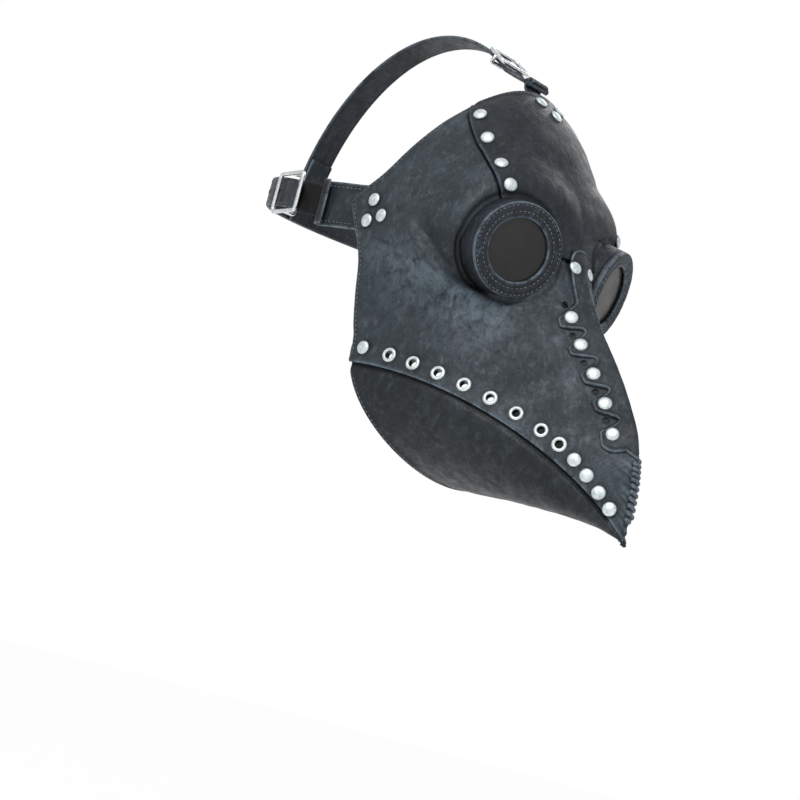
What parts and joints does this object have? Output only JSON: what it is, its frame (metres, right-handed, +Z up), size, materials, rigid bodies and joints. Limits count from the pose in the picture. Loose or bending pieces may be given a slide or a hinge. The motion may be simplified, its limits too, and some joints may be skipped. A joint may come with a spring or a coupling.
{
  "type": "plague doctor mask",
  "caption": "Beaked plague doctor mask of riveted dark panels with round goggles, an eyeleted jaw seam, a laced beak edge and an adjustable head harness.",
  "frame": {"origin": "midpoint between the centres of the two goggle openings", "axes": "+X to the wearer's left, -Y forward to the beak, +Z up"},
  "size_m": [0.171, 0.3573, 0.3202],
  "materials": {
    "distressed_hide": "matt blue-black leather look, rubbed pale on the high spots",
    "edge_hide": "darker satin leather look with rubbed edges",
    "dull_silver": "dull silver, slightly worn",
    "smoked_lens": "dark smoked sheet",
    "black_webbing": "black woven webbing",
    "waxed_thread": "thick dark waxed thread"
  },
  "bodies": {
    "face_shell": {"cheek_panel_right": "distressed_hide", "cheek_panel_left": "distressed_hide", "brow_panel": "distressed_hide", "jaw_panel": "distressed_hide", "bridge_strip": "edge_hide", "beak_lacing": "waxed_thread", "goggle_ring_right": "edge_hide", "lens_right": "smoked_lens", "lens_retainer_right": "edge_hide", "goggle_ring_left": "edge_hide", "lens_left": "smoked_lens", "lens_retainer_left": "edge_hide", "brow_rivet_right_1": "dull_silver", "brow_rivet_right_2": "dull_silver", "brow_rivet_right_3": "dull_silver", "brow_rivet_right_4": "dull_silver", "brow_rivet_left_1": "dull_silver", "brow_rivet_left_2": "dull_silver", "brow_rivet_left_3": "dull_silver", "brow_rivet_left_4": "dull_silver", "jaw_rivet_right_1": "dull_silver", "jaw_rivet_right_2": "dull_silver", "jaw_rivet_right_3": "dull_silver", "jaw_rivet_right_4": "dull_silver", "jaw_rivet_right_5": "dull_silver", "jaw_rivet_left_1": "dull_silver", "jaw_rivet_left_2": "dull_silver", "jaw_rivet_left_3": "dull_silver", "jaw_rivet_left_4": "dull_silver", "jaw_rivet_left_5": "dull_silver", "temple_rivet_right_1": "dull_silver", "temple_rivet_right_2": "dull_silver", "temple_rivet_right_3": "dull_silver", "temple_rivet_left_1": "dull_silver", "temple_rivet_left_2": "dull_silver", "temple_rivet_left_3": "dull_silver", "crown_rivet_1": "dull_silver", "crown_rivet_2": "dull_silver", "crown_rivet_3": "dull_silver", "temple_tab_right": "edge_hide", "temple_tab_left": "edge_hide", "crown_tab": "edge_hide"},
    "side_strap_right": {"side_webbing_right": "black_webbing", "rear_strap_right": "distressed_hide"},
    "slider_right": {"strap_slider_right": "dull_silver"},
    "side_strap_left": {"side_webbing_left": "black_webbing", "rear_strap_left": "distressed_hide"},
    "slider_left": {"strap_slider_left": "dull_silver"},
    "crown_harness": {"crown_strap": "distressed_hide", "back_patch": "edge_hide"},
    "crown_slide": {"crown_slider": "dull_silver"}
  },
  "joints": [
    {"name": "strap_swing_right", "type": "hinge", "parent": "face_shell", "child": "side_strap_right", "pos_m": [-0.08, 0.145, 0.015], "axis": [0, 0, 1], "range_deg": [0, 50]},
    {"name": "strap_swing_left", "type": "hinge", "parent": "face_shell", "child": "side_strap_left", "pos_m": [0.08, 0.145, 0.015], "axis": [0, 0, -1], "range_deg": [0, 50]},
    {"name": "crown_strap_lift", "type": "hinge", "parent": "face_shell", "child": "crown_harness", "pos_m": [0, 0.06347, 0.12479], "axis": [1, 0, 0], "range_deg": [0, 45]},
    {"name": "slider_travel_right", "type": "slide", "parent": "side_strap_right", "child": "slider_right", "axis": [0.2526, 0.9553, 0.1538], "range_m": [-0.003, 0.003]},
    {"name": "slider_travel_left", "type": "slide", "parent": "side_strap_left", "child": "slider_left", "axis": [-0.2526, 0.9553, 0.1538], "range_m": [-0.003, 0.003]},
    {"name": "crown_slider_travel", "type": "slide", "parent": "crown_harness", "child": "crown_slide", "axis": [0, 0.8209, 0.5711], "range_m": [-0.003, 0.003]}
  ]
}
